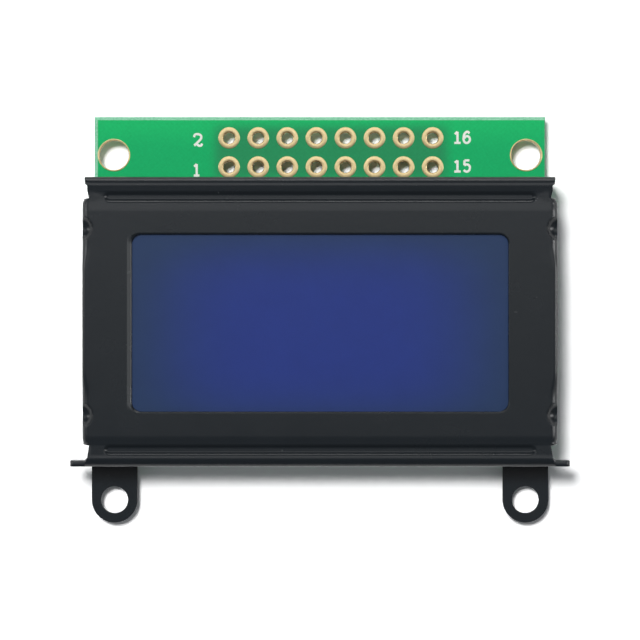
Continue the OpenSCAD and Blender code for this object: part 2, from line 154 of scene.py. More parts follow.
def newDrill(width, length, place, sides):
    bpy.ops.mesh.primitive_cylinder_add(vertices=sides, radius=width / 2, depth=length, location=place)
    return named("drill")


def addModifier(piece, kind, settings):
    modifier = piece.modifiers.new(kind.title(), kind)
    for key, value in settings.items():
        setattr(modifier, key, value)
    makeActive(piece)
    bpy.ops.object.modifier_apply(modifier=modifier.name)


def cutAway(piece, cutter):
    addModifier(piece, "BOOLEAN", {"operation": "DIFFERENCE", "solver": "EXACT", "object": cutter})
    bpy.data.objects.remove(cutter)


def roundEdges(piece, width, segments, angle=40):
    addModifier(piece, "BEVEL", {
        "width": width,
        "segments": segments,
        "limit_method": "ANGLE",
        "angle_limit": math.radians(angle),
        "use_clamp_overlap": True,
    })


def toMetres(piece):
    makeActive(piece)
    bpy.ops.object.transform_apply(location=True, rotation=True, scale=True)
    piece.scale = (1 / perMetre,) * 3
    bpy.ops.object.transform_apply(location=True, rotation=True, scale=True)


def finishPiece(piece, nodes=(), smoothAngle=35, material=None):
    if material:
        piece.data.materials.append(material)
    toMetres(piece)
    bpy.ops.object.shade_smooth_by_angle(angle=math.radians(smoothAngle))
    addModifier(piece, "WEIGHTED_NORMAL", {"weight": 80, "keep_sharp": True})
    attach(piece, "root")
    if nodes:
        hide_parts(*nodes)


def weldPiece():
    bpy.ops.mesh.select_all(action="SELECT")
    bpy.ops.mesh.remove_doubles(threshold=weld)
    bpy.ops.mesh.normals_make_consistent(inside=False)


studio = {
    "cameraHeight": 0.330,    # above the board's face
    "viewWidth": 0.0559,      # what the camera takes in at that face
    "floorSize": 3.0,
    "worldColor": (0.93, 0.96, 1.0, 1),
    "worldStrength": 0.18,
    "paper": 0.86,            # its tone where it lights the object, and
    "paperSeen": 1.35,        # where the camera looks at it
    "clipStart": 0.01,
}

# place, width and length, and power of the lamp and of the white cards
keyLamp = ((-0.11, 0.16, 0.80), (0.13, 0.13), 5.5)
cards = {
    "ceilingCard": ((0, 0.26, 0.75), (1.6, 0.5), 3.0),
    "leftCard": ((-0.40, 0.05, 0.08), (0.08, 0.30), 0.25),
    "rightCard": ((0.40, 0.02, 0.08), (0.08, 0.30), 0.5),
    "farCard": ((0, 0.40, 0.06), (0.5, 0.06), 0.5),
}


def setCamera():
    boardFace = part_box("printed_board")[1].z
    bpy.ops.object.camera_add(location=(0, 0, boardFace + studio["cameraHeight"]))
    camera = bpy.context.object
    camera.data.angle = 2 * math.atan(studio["viewWidth"] / 2 / studio["cameraHeight"])
    camera.data.clip_start = studio["clipStart"]
    bpy.context.scene.camera = camera


def areaLight(name, place, size, power, sheenOnly=False):
    # with sheenOnly it is a white card, which shows in glossy surfaces and adds no light of its own
    bpy.ops.object.light_add(type="AREA", location=place)
    lamp = bpy.context.object
    lamp.name = name
    lamp.data.shape = "RECTANGLE"
    lamp.data.size = size[0]
    lamp.data.size_y = size[1]
    lamp.data.energy = power
    lamp.rotation_euler = (-Vector(place)).to_track_quat("-Z", "Y").to_euler()
    lamp.visible_diffuse = not sheenOnly
    lamp.visible_glossy = sheenOnly


def setStudio():
    world = bpy.data.worlds.new("studioWorld")
    world.use_nodes = True
    bpy.context.scene.world = world
    background = world.node_tree.nodes["Background"]
    background.inputs["Color"].default_value = studio["worldColor"]
    background.inputs["Strength"].default_value = studio["worldStrength"]

    areaLight("keyLight", *keyLamp)
    for name, settings in cards.items():
        areaLight(name, *settings, sheenOnly=True)
    bpy.context.scene.view_settings.view_transform = "Standard"


def floorMaterial():
    # the camera sees a brighter paper than the one that lights the object
    material = bpy.data.materials.new("studioPaper")
    material.use_nodes = True
    tree = material.node_tree
    tree.nodes.clear()
    output = addNode(tree, "ShaderNodeOutputMaterial")
    paper = addNode(tree, "ShaderNodeBsdfDiffuse", None, {"Color": (*grey(studio["paper"]), 1)})
    brightPaper = addNode(tree, "ShaderNodeBsdfDiffuse", None, {"Color": (*grey(studio["paperSeen"]), 1)})
    path = addNode(tree, "ShaderNodeLightPath")
    mix = addNode(tree, "ShaderNodeMixShader")
    tree.links.new(path.outputs["Is Camera Ray"], mix.inputs["Fac"])
    tree.links.new(paper.outputs["BSDF"], mix.inputs[1])
    tree.links.new(brightPaper.outputs["BSDF"], mix.inputs[2])
    tree.links.new(mix.outputs["Shader"], output.inputs["Surface"])
    return material


def setFloor():
    bpy.ops.mesh.primitive_plane_add(size=studio["floorSize"], location=(0, 0, 0))
    floor = named("studioFloor")
    floor.data.materials.append(floorMaterial())


def newMaterial(name, settings):
    material = bpy.data.materials.new(name)
    material.use_nodes = True
    shader = material.node_tree.nodes["Principled BSDF"]
    for key, value in settings.items():
        shader.inputs[key].default_value = value
    return material, material.node_tree, shader


def addNode(tree, kind, settings=None, inputs=None):
    node = tree.nodes.new(kind)
    for key, value in (settings or {}).items():
        setattr(node, key, value)
    for key, value in (inputs or {}).items():
        node.inputs[key].default_value = value
    return node


def feed(tree, socket, value):
    # a socket takes either another node's output or a plain value
    if isinstance(value, bpy.types.NodeSocket):
        tree.links.new(value, socket)
    else:
        socket.default_value = value


def work(tree, operation, first, second=0.0):
    node = addNode(tree, "ShaderNodeMath", {"operation": operation})
    feed(tree, node.inputs[0], first)
    feed(tree, node.inputs[1], second)
    return node.outputs[0]


def softStep(tree, value, start, end):
    # 0 before start, 1 after end, and smooth between them
    node = addNode(tree, "ShaderNodeMapRange", {"interpolation_type": "SMOOTHSTEP"}, {
        "From Min": start,
        "From Max": end,
    })
    tree.links.new(value, node.inputs["Value"])
    return node.outputs["Result"]


def objectAxes(tree, wanted):
    place = addNode(tree, "ShaderNodeTexCoord")
    split = addNode(tree, "ShaderNodeSeparateXYZ")
    tree.links.new(place.outputs["Object"], split.inputs["Vector"])
    return [split.outputs[axis] for axis in wanted]


def objectNoise(tree, scale, detail=4.0, roughness=0.6):
    place = addNode(tree, "ShaderNodeTexCoord")
    noise = addNode(tree, "ShaderNodeTexNoise", None, {
        "Scale": scale,
        "Detail": detail,
        "Roughness": roughness,
    })
    tree.links.new(place.outputs["Object"], noise.inputs["Vector"])
    return noise.outputs["Fac"]


def fromMiddle(tree, axis, middle):
    return work(tree, "ABSOLUTE", work(tree, "SUBTRACT", axis, middle))


def fieldInside(tree, sides):
    # 1 inside and 0 outside; each side is a distance and the span over which the field fades there
    field = 1.0
    for away, start, end in sides:
        kept = work(tree, "SUBTRACT", 1.0, softStep(tree, away, start, end))
        field = work(tree, "MULTIPLY", field, kept)
    return field


def waves(tree, axis, pitch):
    # even waves from -1 to 1 along an axis, with their pitch in millimetres
    return work(tree, "SINE", work(tree, "MULTIPLY", axis, 2 * math.pi * perMetre / pitch))


def varyGloss(tree, shader, noise, low, high):
    gloss = addNode(tree, "ShaderNodeMapRange", None, {"To Min": low, "To Max": high})
    tree.links.new(noise, gloss.inputs["Value"])
    tree.links.new(gloss.outputs["Result"], shader.inputs["Roughness"])


def addBump(tree, shader, height, distance, under=None):
    # height runs from 0 to 1, and distance is how much that is in millimetres
    bump = addNode(tree, "ShaderNodeBump", None, {"Strength": 1.0, "Distance": distance / perMetre})
    tree.links.new(height, bump.inputs["Height"])
    if under:
        tree.links.new(under, bump.inputs["Normal"])
    tree.links.new(bump.outputs["Normal"], shader.inputs["Normal"])
    return bump.outputs["Normal"]


def addRamp(tree, source, stops):
    ramp = addNode(tree, "ShaderNodeValToRGB")
    elements = ramp.color_ramp.elements
    elements[0].position, elements[0].color = stops[0][0], (*stops[0][1], 1)
    elements[1].position, elements[1].color = stops[-1][0], (*stops[-1][1], 1)
    for position, color in stops[1:-1]:
        element = elements.new(position)
        element.color = (*color, 1)
    tree.links.new(source, ramp.inputs["Fac"])
    return ramp.outputs["Color"]


def blendColors(tree, share, first, second, kind="MIX"):
    node = addNode(tree, "ShaderNodeMixRGB", {"blend_type": kind})
    feed(tree, node.inputs["Fac"], share)
    feed(tree, node.inputs["Color1"], first)
    feed(tree, node.inputs["Color2"], second)
    return node.outputs["Color"]


def grey(value):
    return (value, value, value)


def toned(color, share):
    return tuple(min(1.0, part * share) for part in color)


def grainedMaterial(name, color, roughness, metallic=0.0, grain=9000, tone=0.1, relief=0.0006):
    # one finish with a fine grain in its tone, gloss and height
    material, tree, shader = newMaterial(name, {"Metallic": metallic, "Roughness": roughness})
    noise = objectNoise(tree, grain)
    shade = addRamp(tree, noise, [(0.3, toned(color, 1 - tone)), (0.7, toned(color, 1 + tone))])
    tree.links.new(shade, shader.inputs["Base Color"])
    varyGloss(tree, shader, objectNoise(tree, grain / 6), roughness * 0.85, roughness * 1.15)
    addBump(tree, shader, noise, relief)
    return material


paint = {
    "color": (0.0075, 0.0105, 0.0135),
    "speck": (0.040, 0.044, 0.047),
    # colour of the painted highlight along the window's left edge
    "paintedHighlight": (0.046, 0.050, 0.053),
    "roughness": 0.26,
    "glossRange": 0.05,
    "specular": 0.42,
    "grain": 20000,
    "grainRelief": 0.0007,
    "speckScale": 2600,
    "speckShare": (0.79, 0.82),
    "glossScale": 260,
    "waveScale": 1500,
    "waveRelief": 0.0035,
    "shoulder": 0.055,        # how far the sheet dips beside a pressed bead
    "shoulderReach": 1.25,
}


def bezelPaint():
    material, tree, shader = newMaterial("satinBlackPaint", {
        "Roughness": paint["roughness"],
        "Specular IOR Level": paint["specular"],
    })
    x, y = objectAxes(tree, "XY")
    fine = objectNoise(tree, paint["grain"], 3.0)
    shade = addRamp(tree, fine, [(0.3, toned(paint["color"], 0.75)), (0.7, toned(paint["color"], 1.3))])
    specks = softStep(tree, objectNoise(tree, paint["speckScale"], 1.0), *paint["speckShare"])
    shade = blendColors(tree, specks, shade, (*paint["speck"], 1))

    # painted highlight: the coined edge along the left of the window is painted lighter, in place of the
    # light its slope catches
    width = (bezel["windowEdge"] + bezel["windowEdgeLeft"]) / perMetre
    stripMiddle = -bezel["window"][0] / 2 / perMetre - width / 2
    stripHalf = bezel["window"][1] / 2 / perMetre
    paintedHighlight = fieldInside(tree, (
        (fromMiddle(tree, x, stripMiddle), width * 0.35, width * 0.6),
        (fromMiddle(tree, y, bezel["windowMiddle"] / perMetre), stripHalf * 0.88, stripHalf),
    ))
    shade = blendColors(tree, paintedHighlight, shade, (*paint["paintedHighlight"], 1))
    tree.links.new(shade, shader.inputs["Base Color"])
    dull = paint["roughness"] + paint["glossRange"]
    glossy = paint["roughness"] - paint["glossRange"]
    varyGloss(tree, shader, objectNoise(tree, paint["glossScale"], 3.0), glossy, dull)

    # the sheet dips a little on both sides of each pressed bead
    dip = 1.0
    for bead in bezel["beads"]:
        away = fromMiddle(tree, y, bead / perMetre)
        foot = bezel["beadWidth"] * 0.3 / perMetre
        beside = softStep(tree, away, foot, paint["shoulderReach"] / perMetre)
        dip = work(tree, "MINIMUM", dip, beside)
    bent = addBump(tree, shader, dip, paint["shoulder"])
    leveled = addBump(tree, shader, objectNoise(tree, paint["waveScale"], 2.0), paint["waveRelief"], bent)
    addBump(tree, shader, fine, paint["grainRelief"], leveled)
    return material


resist = {
    "green": (0.0050, 0.425, 0.132),
    # lighter green at the board's top edge: painted sheen
    "sheenEdgeGreen": (0.0085, 0.500, 0.145),
    "dull": (0.0170, 0.270, 0.100),
    "aroundX": 1.5,           # how far the duller field reaches past the outer pads
    "aroundY": 1.25,
    "soft": 1.0,
    "weavePitch": 0.42,
    "weaveShare": 0.06,
    "mottleScale": 5200,
    "roughness": 0.34,
    "specular": 0.22,
    "flowScale": 900,
    "flowRelief": 0.004,
    "grainRelief": 0.0006,
}


def greenResist(name, lift=1.0):
    material, tree, shader = newMaterial(name, {
        "Roughness": resist["roughness"],
        "Specular IOR Level": resist["specular"],
    })
    x, y = objectAxes(tree, "XY")
    places = [nodeMiddle(node) for node in headerNodes()]
    low = Vector((min(place.x for place in places), min(place.y for place in places), 0))
    high = Vector((max(place.x for place in places), max(place.y for place in places), 0))
    middle = (low + high) / 2
    half = (high - low) / 2

    # duller between and around the pads, where no copper lies under the resist
    sides = []
    for axis, center, reach in (
        (x, middle.x, half.x + resist["aroundX"]),
        (y, middle.y, half.y + resist["aroundY"]),
    ):
        start = (reach - resist["soft"]) / perMetre
        end = (reach + resist["soft"] / 2) / perMetre
        sides.append((fromMiddle(tree, axis, center / perMetre), start, end))
    field = fieldInside(tree, sides)
    # painted sheen: the resist is painted lighter from the pad rows towards the board's top edge
    sheenShare = softStep(tree, y, middle.y / perMetre, nodeBox("printed_board")[1].y / perMetre)
    shade = blendColors(
        tree,
        sheenShare,
        (*toned(resist["green"], lift), 1),
        (*toned(resist["sheenEdgeGreen"], lift), 1),
    )
    shade = blendColors(tree, field, shade, (*toned(resist["dull"], lift), 1))

    # the glass cloth shows faintly through
    pitch = resist["weavePitch"]
    cloth = work(tree, "MULTIPLY", waves(tree, x, pitch), waves(tree, y, pitch))
    faint = work(tree, "MULTIPLY", cloth, resist["weaveShare"])
    mottle = work(tree, "ADD", faint, objectNoise(tree, resist["mottleScale"]))
    veil = addRamp(tree, mottle, [(0.25, grey(0.86)), (0.75, grey(1.0))])
    shade = blendColors(tree, 1.0, shade, veil, "MULTIPLY")
    tree.links.new(shade, shader.inputs["Base Color"])
    flow = addBump(tree, shader, objectNoise(tree, resist["flowScale"], 2.0), resist["flowRelief"])
    addBump(tree, shader, objectNoise(tree, 9000), resist["grainRelief"], flow)
    return material


def bareLaminate():
    # sawn or snapped glass cloth, with its layers showing along the edge
    material, tree, shader = newMaterial("bareLaminate", {"Roughness": 0.62})
    [z] = objectAxes(tree, "Z")
    layers = work(tree, "MULTIPLY", waves(tree, z, 0.2), 0.16)
    ragged = work(tree, "ADD", layers, objectNoise(tree, 4200))
    shade = addRamp(tree, ragged, [
        (0.2, (0.13, 0.50, 0.27)),
        (0.55, (0.27, 0.70, 0.44)),
        (0.85, (0.45, 0.80, 0.60)),
    ])
    tree.links.new(shade, shader.inputs["Base Color"])
    addBump(tree, shader, ragged, 0.012)
    return material


display = {
    "middle": (0.0165, 0.0360, 0.210),
    "edge": (0.0160, 0.0385, 0.104),
    "start": 0.05,            # the tone changes over from this to
    "reach": 1.08,            # this share of the half window
    "shareY": 0.55,           # how much its height counts against its width
    "below": 0.7,             # the tone's middle lies this far below the window's
}


def displayBlue():
    # the resting display is a little greener and darker towards the edges of the window
    material, tree, shader = newMaterial("displayBlue", {"Roughness": 0.30, "Specular IOR Level": 0.35})
    x, y = objectAxes(tree, "XY")
    halfX = bezel["window"][0] / 2 / perMetre
    halfY = bezel["window"][1] / 2 / perMetre
    acrossX = work(tree, "DIVIDE", fromMiddle(tree, x, 0.0), halfX)
    toneMiddle = (bezel["windowMiddle"] - display["below"]) / perMetre
    acrossY = work(tree, "DIVIDE", fromMiddle(tree, y, toneMiddle), halfY)
    farX = work(tree, "POWER", acrossX, 4.0)
    farY = work(tree, "MULTIPLY", work(tree, "POWER", acrossY, 4.0), display["shareY"])
    far = work(tree, "POWER", work(tree, "ADD", farX, farY), 0.5)
    share = softStep(tree, far, display["start"], display["reach"])
    shade = blendColors(tree, share, (*display["middle"], 1), (*display["edge"], 1))
    for noise, darkest in ((objectNoise(tree, 420, 3.0), 0.93), (objectNoise(tree, 16000, 2.0), 0.86)):
        veil = addRamp(tree, noise, [(0.3, grey(darkest)), (0.7, grey(1.0))])
        shade = blendColors(tree, 1.0, shade, veil, "MULTIPLY")
    tree.links.new(shade, shader.inputs["Base Color"])
    addBump(tree, shader, objectNoise(tree, 14000, 2.0), 0.0005)
    return material


def connectorRubber():
    # thin conducting layers stand between clear ones
    material, tree, shader = newMaterial("layeredRubber", {"Roughness": 0.6})
    [x] = objectAxes(tree, "X")
    layers = work(tree, "MULTIPLY", waves(tree, x, 0.18), 0.5)
    shade = addRamp(tree, work(tree, "ADD", layers, 0.5), [
        (0.45, (0.03, 0.03, 0.03)),
        (0.6, (0.62, 0.30, 0.34)),
    ])
    tree.links.new(shade, shader.inputs["Base Color"])
    addBump(tree, shader, objectNoise(tree, 5000), 0.002)
    return material


# the grained finishes: name, color, roughness and what differs from the usual grain
finishes = {
    "whiteInk": ("whiteInk", (0.80, 0.83, 0.76), 0.55, {"relief": 0.002}),
    "aluminaWhite": ("aluminaWhite", (0.80, 0.79, 0.75), 0.6, {}),
    "plated_copper": ("goldPlating", (0.86, 0.68, 0.36), 0.36, {
        "metallic": 0.85, "grain": 5200, "tone": 0.06, "relief": 0.0012,
    }),
    "cell_glass": ("cellGlass", (0.36, 0.46, 0.47), 0.08, {"grain": 900, "tone": 0.05, "relief": 0.0002}),
    "seal_epoxy": ("sealEpoxy", (0.62, 0.57, 0.40), 0.5, {}),
    "crystal_layer": ("crystalLayer", (0.05, 0.07, 0.30), 0.2, {}),
    "white_plastic": ("whitePlastic", (0.78, 0.78, 0.74), 0.45, {
        "grain": 3000, "tone": 0.04, "relief": 0.002,
    }),
    "mirror_film": ("mirrorFilm", (0.85, 0.85, 0.86), 0.15, {"metallic": 0.8}),
    "clear_acrylic": ("clearAcrylic", (0.75, 0.83, 0.88), 0.1, {}),
    "matt_film": ("mattFilm", (0.85, 0.85, 0.85), 0.8, {}),
    "strip_board": ("stripBoard", (0.78, 0.78, 0.72), 0.5, {}),
    "led_body": ("ledBody", (0.85, 0.78, 0.45), 0.4, {}),
    "tinned_wire": ("tinnedWire", (0.70, 0.71, 0.72), 0.28, {"metallic": 1.0, "grain": 6000, "tone": 0.06}),
    "solder": ("brightSolder", (0.66, 0.67, 0.69), 0.24, {"metallic": 1.0, "grain": 2600, "relief": 0.004}),
    "resin_black": ("blackResin", (0.011, 0.011, 0.012), 0.24, {
        "grain": 1400, "tone": 0.25, "relief": 0.008,
    }),
    "resistor_ceramic": ("resistorGlaze", (0.012, 0.012, 0.014), 0.25, {}),
    "capacitor_ceramic": ("capacitorBody", (0.40, 0.255, 0.13), 0.42, {"grain": 4200, "tone": 0.12}),
}


def makeMaterials():
    materials = {
        "bareLaminate": bareLaminate(),
        "trackResist": greenResist("trackResist", 1.3),
        "bezel_black": bezelPaint(),
        "board_green": greenResist("greenResist"),
        "polarizer_blue": displayBlue(),
        "connector_rubber": connectorRubber(),
    }
    for slotName, (name, color, roughness, differing) in finishes.items():
        materials[slotName] = grainedMaterial(name, color, roughness, **differing)
    return materials


def dressNodes(materials):
    for part in frame["record"]["subparts"]:
        piece = frame["nodes"][part["node"]]
        piece.data.materials.clear()
        piece.data.materials.append(materials[part["material_slot"]])


bezel = {
    "sheet": 0.5,
    "edgeGap": 0.15,
    "sideGap": 0.2,
    "bendRadius": 0.8,        # outside, at the face's folds
    "bendSteps": 24,
    "smallBendSteps": 8,      # round the folds of the lugs and tabs
    "sideWallLength": 21.2,
    "cornerHalf": 19.95,
    "endWallHalf": 20.2,
    "widenEarly": 1.6,        # how much sooner than its bend a folded end has grown to its full width
    "wallLift": 0.15,
    "beads": (10.55, -11.15),
    "beadLength": 37.2,
    "beadWidth": 1.1,
    "beadDepth": 0.25,
    "beadSlope": 0.42,
    "beadSteps": 6,
    "beadCuts": 10,           # cuts that round the ends of a bead
    "window": (32.3, 15.2),
    "windowCorner": 0.85,
    "windowMiddle": -0.25,
    "windowEdge": 0.16,
    "windowEdgeLeft": 0.24,   # added to its width along the left, and
    "windowDropLeft": 0.13,   # how much deeper it is pressed there
    "windowBands": 8,         # steps in which that depth grows round the corners
    "lugMiddle": 18.0,
    "lugWidth": 4.0,
    "lugHole": 2.35,
    "lugRound": 0.999,        # share of its half width that its rounding takes up
    "earLow": 5.2,
    "earCorner": 0.5,
    "dartSpacing": 16.0,
    "dartRadius": 1.05,
    "dartRise": 0.1,
    "dartReach": 1.5,
    "dartCuts": 36,
    "dartSmooth": 0.9,        # share of the reach that is smoothed once it is pressed
    "tightShare": 0.5,        # the side bends' radius between the darts, as a share of the bend radius
    "tightReach": 2.2,
    "tightSteps": 8,
    "endReach": 0.7,          # the ends of the side bends are rounded off over this length
    "endDepth": 0.34,
    "endSteps": 6,
    "tabWidth": 2.4,
    "tabReach": 1.7,
    "reliefGap": 0.25,
    "reliefTop": 0.3,
    "proud": 0.001,           # corners that stand out further than this are tucked in
    "rim": 0.07,              # rounding of every cut edge
}


def spinEdges(piece, test, center, axis, angle, steps):
    # the spin tool turns clockwise about its axis, so the angle changes sign here
    pickParts(piece, "EDGE", test)
    bpy.ops.mesh.spin(steps=steps, angle=-angle, center=center, axis=axes[axis])


def pushEdges(piece, test, move):
    pickParts(piece, "EDGE", test)
    bpy.ops.mesh.extrude_edges_move(TRANSFORM_OT_translate={"value": move})


def deleteFaces(piece, test):
    pickParts(piece, "FACE", test)
    bpy.ops.mesh.delete(type="FACE")


def bezelPlan():
    # the bezel's main places, worked out from the frame
    low, high = nodeBox("bezel")
    boardLow, boardHigh = nodeBox("printed_board")
    plan = {
        "face": high.z,
        "top": high.y,
        "bottom": boardLow.y - bezel["sheet"] - bezel["edgeGap"],
        "halfWide": boardHigh.x + bezel["sheet"] + bezel["sideGap"],
        "lugEnd": low.y,
        "earEnd": high.x,
        "boardLow": boardLow.z,
        "boardHalf": boardHigh.x,
        "bendZ": high.z - bezel["bendRadius"],
        "wallHalf": bezel["sideWallLength"] / 2,
        "wallLow": boardLow.z + bezel["wallLift"],
        "upperWallLow": boardHigh.z + bezel["wallLift"],
    }
    plan["middle"] = (plan["top"] + plan["bottom"]) / 2
    plan["flatHalf"] = plan["halfWide"] - bezel["bendRadius"]
    plan["flatTop"] = plan["top"] - bezel["bendRadius"]
    plan["flatBottom"] = plan["bottom"] + bezel["bendRadius"]
    plan["wallSpan"] = around(plan["middle"], plan["wallHalf"])
    return plan


def layFace(shell, plan):
    # flat sheet with lines for the corner reliefs and the beads
    bpy.ops.transform.resize(value=(2 * plan["flatHalf"], plan["flatTop"] - plan["flatBottom"], 1))
    bpy.ops.transform.translate(value=(0, plan["middle"], plan["face"]))
    lines = plan["wallSpan"]
    for bead in bezel["beads"]:
        lines += around(bead, bezel["beadWidth"] / 2)
    for y in lines:
        bisectAt(shell, within(), "y", y)
    for bead in bezel["beads"]:
        for x in around(0, bezel["beadLength"] / 2):
            bisectAt(shell, within(y=around(bead, bezel["beadWidth"] / 2)), "x", x)


def inBead(bead):
    return within(around(0, bezel["beadLength"] / 2), around(bead, bezel["beadWidth"] / 2))


def beadLines(bead, plan):
    # lines that round a bead's ends in nearly even turns, one of them where a side wall's end line meets it
    half = bezel["beadWidth"] / 2
    meeting = next(math.acos((y - bead) / half) for y in plan["wallSpan"] if abs(y - bead) < half)
    before = round(bezel["beadCuts"] * meeting / math.pi)
    after = bezel["beadCuts"] - before
    turns = [meeting * cut / before for cut in range(before)]
    turns += [meeting + (math.pi - meeting) * cut / after for cut in range(after + 1)]
    return [bead + half * math.cos(turn) for turn in turns]


def roundBeadEnds(shell, plan):
    # each line is drawn in at its ends to a half circle, and the bead is made one face again
    half = bezel["beadWidth"] / 2
    for bead in bezel["beads"]:
        lines = beadLines(bead, plan)
        for y in lines[1:-1]:
            bisectAt(shell, inBead(bead), "y", y)
        for y in lines:
            pull = half - math.sqrt(max(0, half ** 2 - (y - bead) ** 2))
            for side in (-1, 1):
                moveParts(shell, "VERT", within(side * bezel["beadLength"] / 2, y), (-side * pull, 0, 0))
        pickParts(shell, "FACE", inBead(bead))
        bpy.ops.mesh.dissolve_faces()


def pressBeads(shell):
    # each bead is inset and pushed down in small steps that make a soft flank
    for bead in bezel["beads"]:
        pickParts(shell, "FACE", inBead(bead))
        depth = 0
        for step in range(1, bezel["beadSteps"] + 1):
            share = step / bezel["beadSteps"]
            deeper = bezel["beadDepth"] * (1 - math.cos(math.pi * share)) / 2
            bpy.ops.mesh.inset(thickness=bezel["beadSlope"] / bezel["beadSteps"])
            bpy.ops.transform.translate(value=(0, 0, depth - deeper))
            depth = deeper


def foldSides(shell, plan):
    # the corners stay flat and reach a little further, and the walls between them are folded down
    for side in (-1, 1):
        flat = side * plan["flatHalf"]
        pushEdges(
            shell,
            lambda corner: (
                near(corner.x, flat)
                and abs(corner.y - plan["middle"]) > plan["wallHalf"] - slack
            ),
            (side * (bezel["cornerHalf"] - plan["flatHalf"]), 0, 0),
        )
        bendCenter = (flat, 0, plan["bendZ"])
        spinEdges(shell, within(flat, plan["wallSpan"]), bendCenter, "y", side * quarter, bezel["bendSteps"])
        pushEdges(
            shell,
            within(x=side * plan["halfWide"], z=plan["bendZ"]),
            (0, 0, plan["wallLow"] - plan["bendZ"]),
        )


def foldEnds(shell, plan):
    for end, flat, wallLow in (
        (1, plan["flatTop"], plan["upperWallLow"]),
        (-1, plan["flatBottom"], plan["wallLow"]),
    ):
        edge = flat + end * bezel["bendRadius"]
        bendCenter = (0, flat, plan["bendZ"])
        spinEdges(shell, within(y=flat), bendCenter, "x", -end * quarter, bezel["bendSteps"])
        pushEdges(shell, within(y=edge, z=plan["bendZ"]), (0, 0, wallLow - plan["bendZ"]))
        widenEnd(shell, plan, (flat + end * 2 * slack, edge))


def widenEnd(shell, plan, folded):
    # the folded end grows a little wider than the flat corners on its way round the bend
    levels = [((0, plan["bendZ"] - 2 * slack), 1)]
    for step in range(1, bezel["bendSteps"] + 1):
        level = plan["bendZ"] + bezel["bendRadius"] * math.cos(quarter * step / bezel["bendSteps"])
        turn = bezel["widenEarly"] * quarter * step / bezel["bendSteps"]
        levels.append((level, math.sin(min(quarter, turn))))
    widening = bezel["endWallHalf"] - bezel["cornerHalf"]
    for side in (-1, 1):
        for level, share in levels:
            atLevel = within(side * bezel["cornerHalf"], folded, level)
            moveParts(shell, "VERT", atLevel, (side * widening * share, 0, 0))


def tightLines(plan, end):
    # places across the bend from a dart towards the middle, each with its share of the change
    dart = plan["middle"] + end * bezel["dartSpacing"] / 2
    for step in range(1, bezel["tightSteps"] + 1):
        share = step / bezel["tightSteps"]
        yield dart - end * (bezel["dartReach"] + bezel["tightReach"] * share), share


def endLines(plan, end):
    # places from the end of a side wall inwards, each with its share of the reach
    for step in range(bezel["endSteps"]):
        share = step / bezel["endSteps"]
        yield plan["middle"] + end * (plan["wallHalf"] - bezel["endReach"] * share), share


def dartZone(plan, side, span, reach):
    # the bend and a strip of this reach on each side of it
    return within(
        (side * (plan["flatHalf"] - reach), side * plan["halfWide"]),
        span,
        (plan["bendZ"] - reach, plan["face"]),
    )


def splitDarts(shell, plan):
    # finer mesh for the side bends, and the finest where the darts are pressed
    reach = bezel["dartReach"]
    cuts = bezel["dartCuts"]
    for side in (-1, 1):
        wall = side * plan["halfWide"]
        bisectAt(shell, within(y=plan["wallSpan"], z=plan["face"]), "x", side * (plan["flatHalf"] - reach))
        bisectAt(shell, within(x=wall), "z", plan["bendZ"] - reach)
        strip = dartZone(plan, side, plan["wallSpan"], reach)
        flatSpan = (side * (plan["flatHalf"] - reach), wall)
        wallSpan = (plan["bendZ"] - reach, plan["face"])
        for end in (-1, 1):
            dart = plan["middle"] + end * bezel["dartSpacing"] / 2
            lines = [dart - reach + 2 * reach * step / cuts for step in range(cuts + 1)]
            lines += [y for y, share in tightLines(plan, end)]
            lines += [y for y, share in endLines(plan, end)][1:]
            for y in lines:
                bisectAt(shell, strip, "y", y)
            for step in range(1, cuts // 2):
                offset = reach * step / (cuts // 2)
                onFace = within(flatSpan, around(dart, reach), plan["face"])
                bisectAt(shell, onFace, "x", side * (plan["flatHalf"] - offset))
                onWall = within(wall, around(dart, reach), wallSpan)
                bisectAt(shell, onWall, "z", plan["bendZ"] - offset)


def makeEars(shell, plan):
    bisectAt(shell, within(y=plan["bottom"]), "z", bezel["earLow"])
    for side in (-1, 1):
        wallEnd = within(side * bezel["endWallHalf"], plan["bottom"], (bezel["earLow"], plan["bendZ"]))
        pushEdges(shell, wallEnd, (side * (plan["earEnd"] - bezel["endWallHalf"]), 0, 0))
        pickParts(shell, "VERT", within(x=side * plan["earEnd"]))
        bpy.ops.mesh.bevel(offset=bezel["earCorner"], segments=8, profile=0.5, affect="VERTICES")


